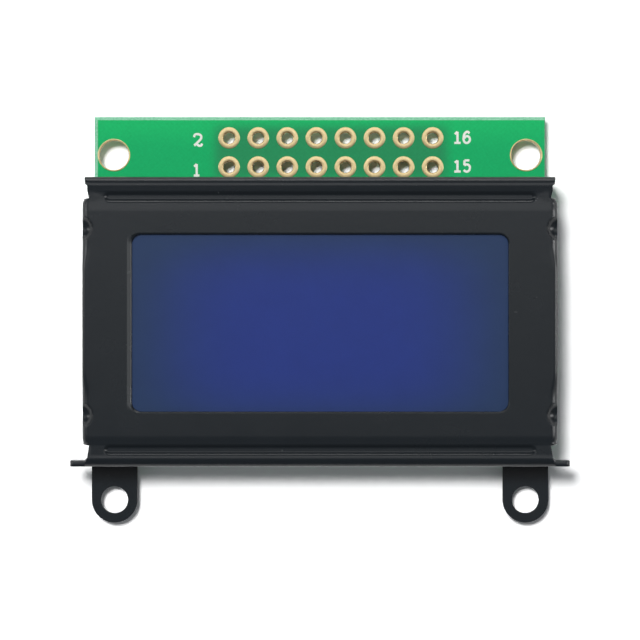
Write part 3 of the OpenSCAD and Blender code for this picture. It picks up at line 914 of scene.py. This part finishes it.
def foldLugs(shell, plan):
    # reliefs beside each lug, and the lug folded outwards at the level of the board's back
    bottom = plan["bottom"]
    bendZ = plan["boardLow"] + bezel["bendRadius"]
    foldEnd = bottom - (bezel["bendRadius"] - bezel["sheet"])
    reliefTop = bendZ + bezel["reliefTop"]
    low = (plan["boardLow"], reliefTop)
    half = bezel["lugWidth"] / 2
    bisectAt(shell, within(y=bottom, z=(plan["boardLow"], bezel["earLow"])), "z", reliefTop)
    for side in (-1, 1):
        middle = side * bezel["lugMiddle"]
        lug = around(middle, half)
        inner = middle - side * half
        outer = middle + side * half
        gap = inner - side * bezel["reliefGap"]
        for x in (*lug, gap):
            bisectAt(shell, within(y=bottom, z=low), "x", x)
        deleteFaces(shell, within((inner, gap), bottom, low))
        deleteFaces(shell, within((outer, side * bezel["endWallHalf"]), bottom, low))
        moveParts(shell, "EDGE", within(lug, bottom, plan["wallLow"]), (0, 0, bendZ - plan["wallLow"]))
        bendCenter = (0, foldEnd, bendZ)
        spinEdges(shell, within(lug, bottom, bendZ), bendCenter, "x", -quarter, bezel["smallBendSteps"])
        pushEdges(shell, within(lug, foldEnd), (0, plan["lugEnd"] - foldEnd, 0))
        pickParts(shell, "FACE", within(lug, (foldEnd, plan["lugEnd"])))
        bpy.ops.mesh.dissolve_faces()
        pickParts(shell, "VERT", within(around(middle, half - 2 * slack), plan["lugEnd"]))
        bpy.ops.mesh.dissolve_verts()
        pickParts(shell, "VERT", within(lug, plan["lugEnd"]))
        bpy.ops.mesh.bevel(offset=half * bezel["lugRound"], segments=20, profile=0.5, affect="VERTICES")


def foldTabs(shell, plan):
    # each side wall is notched, and its tabs are folded in under the board
    bendZ = plan["boardLow"] + bezel["sideGap"]
    foldLow = bendZ - (plan["halfWide"] - plan["boardHalf"])
    reliefTop = bendZ + bezel["reliefTop"]
    low = (plan["boardLow"], reliefTop)
    half = bezel["tabWidth"] / 2
    for side in (-1, 1):
        wall = side * plan["halfWide"]
        boardSide = side * plan["boardHalf"]
        bisectAt(shell, within(x=wall), "z", reliefTop)
        for middle in around(plan["middle"], bezel["dartSpacing"] / 2):
            tab = around(middle, half)
            notched = around(middle, half + bezel["reliefGap"])
            for y in (*tab, *notched):
                bisectAt(shell, within(x=wall, z=low), "y", y)
            for notch in zip(tab, notched):
                deleteFaces(shell, within(wall, notch, low))
            moveParts(shell, "EDGE", within(wall, tab, plan["wallLow"]), (0, 0, bendZ - plan["wallLow"]))
            bendCenter = (boardSide, 0, bendZ)
            spinEdges(
                shell, within(wall, tab, bendZ), bendCenter, "y", side * quarter, bezel["smallBendSteps"],
            )
            pushEdges(shell, within(boardSide, tab, foldLow), (-side * bezel["tabReach"], 0, 0))


def pressDarts(shell, plan):
    # a ball is pressed into each dart
    for side in (-1, 1):
        for dart in around(plan["middle"], bezel["dartSpacing"] / 2):
            objectMode()
            bpy.ops.mesh.primitive_uv_sphere_add(
                segments=96,
                ring_count=48,
                radius=bezel["dartRadius"],
                location=(
                    side * (plan["halfWide"] + bezel["dartRise"]),
                    dart,
                    plan["face"] + bezel["dartRise"],
                ),
            )
            ball = named("dartBall")
            makeActive(shell)
            zone = dartZone(plan, side, around(dart, bezel["dartReach"]), bezel["dartReach"])
            group = shell.vertex_groups.new(name="dart")
            group.add([point.index for point in shell.data.vertices if zone(point.co)], 1.0, "REPLACE")
            addModifier(shell, "SHRINKWRAP", {
                "target": ball,
                "wrap_method": "NEAREST_SURFACEPOINT",
                "wrap_mode": "OUTSIDE",
                "vertex_group": "dart",
            })
            shell.vertex_groups.clear()
            bpy.data.objects.remove(ball)
            makeActive(shell)
            editMode()
            smooth = bezel["dartSmooth"] * bezel["dartReach"]
            pickParts(shell, "VERT", dartZone(plan, side, around(dart, smooth), smooth))
            bpy.ops.mesh.vertices_smooth(factor=0.5, repeat=2)


def easeBends(shell, plan):
    # the side bends are tighter between the darts, and rounded off at their ends
    for side in (-1, 1):
        outwards = (side * plan["flatHalf"], side * math.inf)
        upwards = (plan["bendZ"], math.inf)
        sheetCorner = (side * plan["halfWide"], 0, plan["face"])
        bendStart = (side * plan["flatHalf"], 0, 0)
        for end in (-1, 1):
            for y, share in tightLines(plan, end):
                tighter = 1 - (1 - bezel["tightShare"]) * (1 - math.cos(math.pi * share)) / 2
                scaleCorners(shell, within(outwards, y, upwards), (tighter, 1, tighter), sheetCorner)
            for y, share in endLines(plan, end):
                pulled = bezel["endDepth"] * (1 - math.sqrt(1 - (1 - share) ** 2)) / bezel["bendRadius"]
                scaleCorners(shell, within(outwards, y, upwards), (1 - pulled, 1, 1), bendStart)


def roundedCutter(size, corner, middle, height):
    cutter = newCube("windowCutter", (*size, height))
    bpy.ops.transform.translate(value=middle)
    bpy.ops.mesh.select_mode(type="EDGE")
    bpy.ops.mesh.select_all(action="DESELECT")
    mesh = bmesh.from_edit_mesh(cutter.data)
    for edge in mesh.edges:
        if abs(edge.verts[0].co.z - edge.verts[1].co.z) > height / 2:
            edge.select_set(True)
    bmesh.update_edit_mesh(cutter.data)
    bpy.ops.mesh.bevel(offset=corner, segments=16, profile=0.5, affect="EDGES")
    objectMode()
    return cutter


def cutWindow(shell, plan):
    sheet = bezel["sheet"]
    middle = (0, bezel["windowMiddle"], plan["face"] - sheet / 2)
    cutAway(shell, roundedCutter(bezel["window"], bezel["windowCorner"], middle, 3 * sheet))
    for side in (-1, 1):
        place = (side * bezel["lugMiddle"], plan["lugEnd"] + bezel["lugWidth"] / 2, plan["boardLow"])
        cutAway(shell, newDrill(bezel["lugHole"], 4 * sheet, place, 64))
    makeActive(shell)
    editMode()
    spanX = around(0, bezel["window"][0] / 2)
    spanY = around(bezel["windowMiddle"], bezel["window"][1] / 2)
    pickParts(shell, "EDGE", within(spanX, spanY, plan["face"]))
    bpy.ops.mesh.bevel(offset=bezel["windowEdge"], segments=3, profile=0.5, affect="EDGES")
    widenCoining(shell, plan)
    objectMode()


def widenCoining(shell, plan):
    # along the left the coined edge is wider and deeper, growing round the corners
    edge = bezel["windowEdge"]
    drop = bezel["windowDropLeft"]
    left = -bezel["window"][0] / 2 - slack
    still = left + bezel["windowCorner"]
    spanY = around(bezel["windowMiddle"], bezel["window"][1] / 2 + edge)
    pressed = (plan["face"] - 2 * edge - drop, plan["face"] - slack - bezel["proud"])
    for band in range(bezel["windowBands"]):
        reachX = still - bezel["windowCorner"] * band / bezel["windowBands"]
        inBand = within((left - edge, reachX - slack), spanY, pressed)
        moveParts(shell, "VERT", inBand, (0, 0, -drop / bezel["windowBands"]))
    wider = 1 + bezel["windowEdgeLeft"] / (bezel["windowCorner"] + edge)
    onFace = within((left - edge, still - slack), spanY, plan["face"])
    scaleCorners(shell, onFace, (wider, 1, 1), (still, 0, 0))


def tuckInside(shell, plan):
    # inner corners of the pressed darts that the thickness has pushed past the sheet go back into it
    half = bezel["sheet"] / 2
    makeActive(shell)
    editMode()
    above = (plan["face"] + bezel["proud"] + slack, math.inf)
    scaleCorners(shell, within(z=above), (1, 1, 0), (0, 0, plan["face"] - half))
    for side in (-1, 1):
        outside = (side * (plan["halfWide"] + bezel["proud"] + slack), side * math.inf)
        inSheet = (side * (plan["halfWide"] - half), 0, 0)
        scaleCorners(shell, within(outside, plan["wallSpan"]), (0, 1, 1), inSheet)
    objectMode()


def makeBezel(materials):
    plan = bezelPlan()
    deselectAll()
    bpy.ops.mesh.primitive_plane_add(size=1, location=(0, 0, 0))
    shell = named("bezelShell")
    editMode()
    layFace(shell, plan)
    roundBeadEnds(shell, plan)
    pressBeads(shell)
    foldSides(shell, plan)
    foldEnds(shell, plan)
    splitDarts(shell, plan)
    makeEars(shell, plan)
    foldLugs(shell, plan)
    foldTabs(shell, plan)
    pressDarts(shell, plan)
    easeBends(shell, plan)
    weldPiece()
    objectMode()
    addModifier(shell, "SOLIDIFY", {"thickness": bezel["sheet"], "offset": -1, "use_even_offset": False})
    tuckInside(shell, plan)
    cutWindow(shell, plan)
    roundEdges(shell, bezel["rim"], 2, 60)
    finishPiece(shell, ["bezel"], material=materials["bezel_black"])


board = {
    "score": 0.3,             # width of the slope that scoring leaves along an edge
    "scoreDeep": 0.42,
    "rightScore": 0.09,
    "fixingHole": 2.7,
    "fixingLand": 2.86,
    "headerHole": 1.1,
    "leadHole": 0.5,
    "holeSides": 48,
    "drillLength": 10,
}


def headerNodes():
    return sorted(name for name in frame["nodes"] if name.startswith("header_pad_"))


def joinPieces(pieces, name):
    deselectAll()
    for piece in pieces:
        piece.select_set(True)
    bpy.context.view_layer.objects.active = pieces[0]
    bpy.ops.object.join()
    return named(name)


def drillBoard(panel):
    holes = [(nodeMiddle(name), board["headerHole"]) for name in headerNodes()]
    holes += [(nodeMiddle(name), board["fixingHole"]) for name in ("hole_ring_left", "hole_ring_right")]
    holes += [(nodeMiddle(name), board["leadHole"]) for name in ("backlight_lead_a", "backlight_lead_k")]
    drills = []
    for place, width in holes:
        place.z = nodeMiddle("printed_board").z
        drills.append(newDrill(width, board["drillLength"], place, board["holeSides"]))
    cutAway(panel, joinPieces(drills, "drills"))


def makeBoard(materials):
    low, high = nodeBox("printed_board")
    panel = newCube("boardPanel", high - low)
    bpy.ops.transform.translate(value=(low + high) / 2)
    for faceZ, inward in ((high.z, -1), (low.z, 1)):
        pickParts(panel, "FACE", within(z=faceZ))
        bpy.ops.mesh.inset(thickness=board["score"])
        # the slopes reach down into the thickness, narrower along the right edge
        for edge in (within(low.x, z=faceZ), within(high.x, z=faceZ)):
            moveParts(panel, "VERT", edge, (0, 0, inward * board["scoreDeep"]))
        innerRight = within(x=high.x - board["score"], z=faceZ)
        moveParts(panel, "VERT", innerRight, (board["score"] - board["rightScore"], 0, 0))
    objectMode()
    drillBoard(panel)

    # resist on both faces and along the right edge, bare laminate on the snapped edges
    panel.data.materials.append(materials["board_green"])
    panel.data.materials.append(materials["bareLaminate"])
    for face in panel.data.polygons:
        place = face.center
        inward = min(high.x - abs(place.x), high.y - place.y, place.y - low.y)
        if inward < board["score"] and abs(face.normal.z) < 0.95 and face.normal.x < 0.3:
            face.material_index = 1
    finishPiece(panel, ["printed_board"], 20)


def turnRings(name, sides, rings, closed=False):
    # each ring is a radius and a height; a closed piece returns to its first ring
    deselectAll()
    bpy.ops.mesh.primitive_circle_add(vertices=sides, radius=rings[0][0], location=(0, 0, 0))
    piece = named(name)
    editMode()
    bpy.ops.mesh.select_all(action="SELECT")
    bpy.ops.transform.translate(value=(0, 0, rings[0][1]))
    following = rings[1:] + rings[:1] if closed else rings[1:]
    for (oldRadius, oldHeight), (radius, height) in zip(rings, following):
        bpy.ops.mesh.extrude_edges_move()
        share = radius / oldRadius
        bpy.ops.transform.resize(value=(share, share, 1), center_override=(0, 0, 0))
        bpy.ops.transform.translate(value=(0, 0, height - oldHeight))
    if not closed:
        bpy.ops.mesh.edge_face_add()
        pickParts(piece, "EDGE", lambda corner: (
            near(corner.z, rings[0][1]) and near(math.hypot(corner.x, corner.y), rings[0][0])
        ))
        bpy.ops.mesh.edge_face_add()
    weldPiece()
    objectMode()
    return piece


def copyTo(piece, name, place):
    deselectAll()
    copy = piece.copy()
    copy.data = piece.data.copy()
    bpy.context.scene.collection.objects.link(copy)
    copy.name = name
    copy.data.name = name
    copy.location = place
    return copy


pads = {
    "lip": 0.12,              # rounding where the barrel meets the land
    "lipSteps": 5,
    "edge": 0.05,
    "edgeFoot": 0.3,          # where the land's rounded edge has a corner: this share of its width in
    "edgeShoulder": 0.75,     # and this share of its height up
    "rise": 0.06,
    "wall": 0.05,
    "sides": 40,
    "ringLip": 0.05,
}


def platedHole(name, holeRadius, landRadius, lip, thickness):
    # section of the barrel and its two lands, from the middle of the hole's wall round
    upper = []
    for step in range(pads["lipSteps"] + 1):
        turn = quarter * step / pads["lipSteps"]
        upper.append((
            holeRadius + lip * (1 - math.cos(turn)),
            thickness / 2 + pads["rise"] - lip * (1 - math.sin(turn)),
        ))
    edge = min(pads["edge"], landRadius - upper[-1][0])
    upper.append((landRadius - edge, thickness / 2 + pads["rise"]))
    shoulder = thickness / 2 + pads["rise"] * pads["edgeShoulder"]
    upper.append((landRadius - edge * pads["edgeFoot"], shoulder))
    upper.append((landRadius, thickness / 2))
    upper.append((holeRadius + pads["wall"], thickness / 2))
    lower = [(radius, -height) for radius, height in reversed(upper)]
    return turnRings(name, pads["sides"], upper + lower, closed=True)


def makePads(materials):
    boardLow, boardHigh = nodeBox("printed_board")
    padLow, padHigh = nodeBox("header_pad_01")
    rings = {"hole_ring_left": "fixingRingLeft", "hole_ring_right": "fixingRingRight"}
    lands = {name: "landAndBarrel" + name[-2:] for name in headerNodes()}
    for pieces, hole, landRadius, lip in (
        (lands, board["headerHole"], (padHigh.x - padLow.x) / 2, pads["lip"]),
        (rings, board["fixingHole"], board["fixingLand"] / 2, pads["ringLip"]),
    ):
        holeRadius = hole / 2 - pads["wall"]
        pattern = platedHole("padPattern", holeRadius, landRadius, lip, boardHigh.z - boardLow.z)
        for node, name in pieces.items():
            piece = copyTo(pattern, name, nodeMiddle(node))
            finishPiece(piece, [node], 50, materials["plated_copper"])
        bpy.data.objects.remove(pattern)


# strokes of each figure on a field one wide and one high; True joins the points with a smooth curve
figures = {
    "1": [
        (False, [(0.10, 0.78), (0.52, 1.0)]),
        (False, [(0.52, 1.0), (0.52, 0.0)]),
        (False, [(0.02, 0.0), (1.0, 0.0)]),
    ],
    "2": [
        (True, [
            (0.03, 0.74), (0.16, 0.95), (0.48, 1.0), (0.84, 0.90), (0.90, 0.68), (0.56, 0.36), (0.06, 0.03),
        ]),
        (True, [(0.06, 0.06), (0.36, 0.13), (0.66, 0.01), (0.92, 0.04), (1.0, 0.20)]),
    ],
    "5": [
        (False, [(0.16, 1.0), (0.90, 1.0)]),
        (False, [(0.16, 1.0), (0.12, 0.56)]),
        (True, [
            (0.12, 0.56), (0.48, 0.64), (0.86, 0.54), (0.98, 0.30), (0.76, 0.04), (0.36, 0.0), (0.02, 0.14),
        ]),
    ],
    "6": [
        (True, [
            (0.92, 0.86), (0.62, 1.0), (0.22, 0.86), (0.02, 0.50), (0.08, 0.16), (0.40, 0.0),
            (0.78, 0.06), (0.98, 0.30), (0.82, 0.54), (0.48, 0.60), (0.10, 0.42),
        ]),
    ],
}

ink = {
    "stroke": 0.20,
    "thick": 0.03,
    "pitch": 0.82,            # from one figure to the next
    "labels": {
        # left, low, width and height of a figure
        "2": (-11.03, 15.21, 0.72, 1.02),
        "1": (-11.03, 12.62, 0.50, 1.00),
        "16": (11.72, 15.47, 0.56, 0.97),
        "15": (11.72, 12.97, 0.56, 0.97),
    },
}


def drawStrokes(name, strokes, width, thick):
    # flat rounded lines: each stroke is a smooth flag and its points
    deselectAll()
    bpy.ops.curve.primitive_bezier_curve_add(location=(0, 0, 0))
    lines = named(name)
    lines.data.splines.clear()
    lines.data.dimensions = "3D"
    lines.data.bevel_depth = width / 2
    lines.data.bevel_resolution = 2
    lines.data.resolution_u = 8
    lines.data.use_fill_caps = True
    for smooth, points in strokes:
        spline = lines.data.splines.new("BEZIER")
        spline.bezier_points.add(len(points) - 1)
        for knot, (x, y) in zip(spline.bezier_points, points):
            knot.co = (x, y, 0)
            knot.handle_left_type = knot.handle_right_type = "AUTO" if smooth else "VECTOR"
    makeActive(lines)
    bpy.ops.object.convert(target="MESH")
    lines = bpy.context.object
    editMode()
    bpy.ops.mesh.select_all(action="SELECT")
    bpy.ops.transform.resize(value=(1, 1, thick / width), center_override=(0, 0, 0))
    objectMode()
    return lines


def makeInk(materials):
    boardFace = nodeBox("printed_board")[1].z
    for label, (left, low, wide, high) in ink["labels"].items():
        strokes = []
        for place, figure in enumerate(label):
            start = left + place * ink["pitch"]
            for smooth, points in figures[figure]:
                strokes.append((smooth, [(start + x * wide, low + y * high) for x, y in points]))
        number = drawStrokes("pinNumber" + label, strokes, ink["stroke"], ink["thick"])
        number.location.z = boardFace
        finishPiece(number, (), 60, materials["whiteInk"])


tracks = {
    "wide": 0.26,
    "thick": 0.05,
    "fromPad": 0.8,           # a track starts under the land, clear of its hole
    "laneTurn": 11.2,
    "pitch": 0.5,             # of the lanes where they reach the resin cap
    "end": 3.2,
    "throughs": 10,           # filled through-holes below and beside the resin cap
    "throughPitch": 1.27,
    "throughRow": -9.7,
    "throughColumn": -14.6,
    "throughRadius": 0.32,
    "throughRise": 0.03,
    "throughStart": 0.6,      # straight length of a track next to its through-hole
    "throughSection": ((1, 0), (0.9, 1), (0.5, 1), (0.28, 0.4)),   # shares of the radius and of the rise
}


def headerTracks():
    # from the pads of the two rows, side by side, then fanned in to the resin cap
    pitch = abs(nodeMiddle("header_pad_03").x - nodeMiddle("header_pad_01").x)
    lanes = []
    for name in headerNodes():
        pad = nodeMiddle(name)
        isUpper = int(name[-2:]) % 2 == 0
        lanes.append((pad.x + (pitch / 2 if isUpper else 0), pad, isUpper))
    lanes.sort(key=lambda entry: entry[0])
    cap = nodeMiddle("resin_cap")
    strokes = []
    for count, (lane, pad, isUpper) in enumerate(lanes):
        target = cap.x + (count - (len(lanes) - 1) / 2) * tracks["pitch"]
        turnEnd = tracks["laneTurn"] - abs(target - lane)
        if isUpper:
            aside = tracks["fromPad"] * math.sqrt(0.5)
            points = [(pad.x + aside, pad.y - aside), (lane, pad.y - pitch / 2)]
        else:
            points = [(pad.x, pad.y - tracks["fromPad"])]
        points += [(lane, tracks["laneTurn"]), (target, turnEnd), (target, tracks["end"])]
        strokes.append((False, points))
    return strokes


def throughPlaces():
    # each place comes with the points its track runs through to the resin cap
    cap = nodeMiddle("resin_cap")
    row = tracks["throughRow"] + tracks["throughStart"]
    column = tracks["throughColumn"] + tracks["throughStart"]
    places = []
    for count in range(tracks["throughs"]):
        offset = count - (tracks["throughs"] - 1) / 2
        far = offset * tracks["throughPitch"]
        close = offset * tracks["pitch"]
        bend = abs(far - close)
        x = cap.x + far
        route = [(x, row), (cap.x + close, row + bend), (cap.x + close, cap.y)]
        places.append(((x, tracks["throughRow"]), route))
        y = cap.y + far
        route = [(column, y), (column + bend, cap.y + close), (cap.x, cap.y + close)]
        places.append(((tracks["throughColumn"], y), route))
    return places


def makeTracks(materials):
    back = nodeBox("printed_board")[0].z
    strokes = headerTracks()
    strokes += [(False, [place] + route) for place, route in throughPlaces()]
    piece = drawStrokes("backTracks", strokes, tracks["wide"], tracks["thick"])
    piece.location.z = back
    finishPiece(piece, (), 60, materials["trackResist"])

    radius = tracks["throughRadius"]
    rise = tracks["throughRise"]
    section = [(radius * wide, -rise * high) for wide, high in tracks["throughSection"]]
    dot = turnRings("throughPattern", 20, section)
    dots = [copyTo(dot, "through", (x, y, back)) for (x, y), route in throughPlaces()]
    bpy.data.objects.remove(dot)
    piece = joinPieces(dots, "filledThroughs")
    finishPiece(piece, (), 60, materials["trackResist"])


resin = {
    "steps": 14,
    "sides": 96,
    "fullness": 0.62,         # under one gives a flatter top and a steeper foot
    "topShare": 0.985,        # the last ring stops short of the middle
}


def makeResinCap(materials):
    low, high = nodeBox("resin_cap")
    radius = (high.x - low.x) / 2
    depth = high.z - low.z
    rings = []
    for step in range(resin["steps"] + 1):
        turn = quarter * step / resin["steps"] * resin["topShare"]
        rings.append((radius * math.cos(turn), -depth * math.sin(turn) ** resin["fullness"]))
    cap = turnRings("resinCap", resin["sides"], rings)
    cap.location = (nodeMiddle("resin_cap").x, nodeMiddle("resin_cap").y, high.z)
    finishPiece(cap, ["resin_cap"], 60, materials["resin_black"])


joint = {
    "steps": 9,
    "sides": 40,
    "lead": 0.30,             # radius where the fillet has climbed onto the lead
    "hollow": 1.7,            # above one makes the fillet hollow
    "climb": 0.9,
    "tip": 0.6,               # radius of the closing ring, as a share of the lead's
}


def makeJoints(materials):
    # solder climbs the lead in a hollow fillet
    for name in ("solder_joint_a", "solder_joint_k"):
        low, high = nodeBox(name)
        radius = (high.x - low.x) / 2
        depth = high.z - low.z
        rings = []
        for step in range(joint["steps"] + 1):
            share = step / joint["steps"]
            rings.append((
                joint["lead"] + (radius - joint["lead"]) * (1 - share) ** joint["hollow"],
                -depth * share ** joint["climb"],
            ))
        rings.append((joint["lead"] * joint["tip"], -depth))
        piece = turnRings(name.replace("solder_joint_", "solderFillet_"), joint["sides"], rings)
        piece.location = (nodeMiddle(name).x, nodeMiddle(name).y, high.z)
        finishPiece(piece, [name], 60, materials["solder"])


chip = {
    "cap": 0.20,              # share of the length under each metal end
    "step": 0.03,             # how far the metal stands out from the body
    "rounding": 0.05,
}


def makeChip(name, body, top, metal):
    low, high = nodeBox(name)
    middle = (low + high) / 2
    size = high - low
    along = 0 if size.x > size.y else 1
    half = size[along] / 2
    capStart = half - chip["cap"] * size[along]
    piece = newCube(name.replace("_", "Part"), size)
    for reach in (capStart, capStart - chip["step"]):
        for side in (-1, 1):
            bisectAt(piece, within(), "xy"[along], side * reach)
    shrink = [1 - 2 * chip["step"] / part for part in size]
    shrink[along] = 1
    bodyEnd = capStart - chip["step"] / 2
    scaleCorners(piece, lambda corner: abs(corner[along]) < bodyEnd, shrink, (0, 0, 0))
    objectMode()
    roundEdges(piece, chip["rounding"], 3, 60)
    for material in (body, top, metal):
        piece.data.materials.append(material)
    for face in piece.data.polygons:
        if abs(face.center[along]) > capStart - chip["step"] * 0.9:
            face.material_index = 2
        elif face.normal.z < -0.5:
            face.material_index = 1
    piece.location = middle
    finishPiece(piece, [name], 40)


def makeChips(materials):
    metal = materials["tinned_wire"]
    for name in sorted(frame["nodes"]):
        if name.startswith("resistor_"):
            body = materials["aluminaWhite"]
            makeChip(name, body, materials["resistor_ceramic"], metal)
        elif name.startswith("capacitor_"):
            body = materials["capacitor_ceramic"]
            makeChip(name, body, body, metal)


print("studio")
setCamera()
setStudio()
setFloor()
print("materials")
materials = makeMaterials()
dressNodes(materials)
print("bezel")
makeBezel(materials)
print("circuit board")
makeBoard(materials)
makePads(materials)
makeInk(materials)
print("back of the board")
makeTracks(materials)
makeResinCap(materials)
makeJoints(materials)
makeChips(materials)
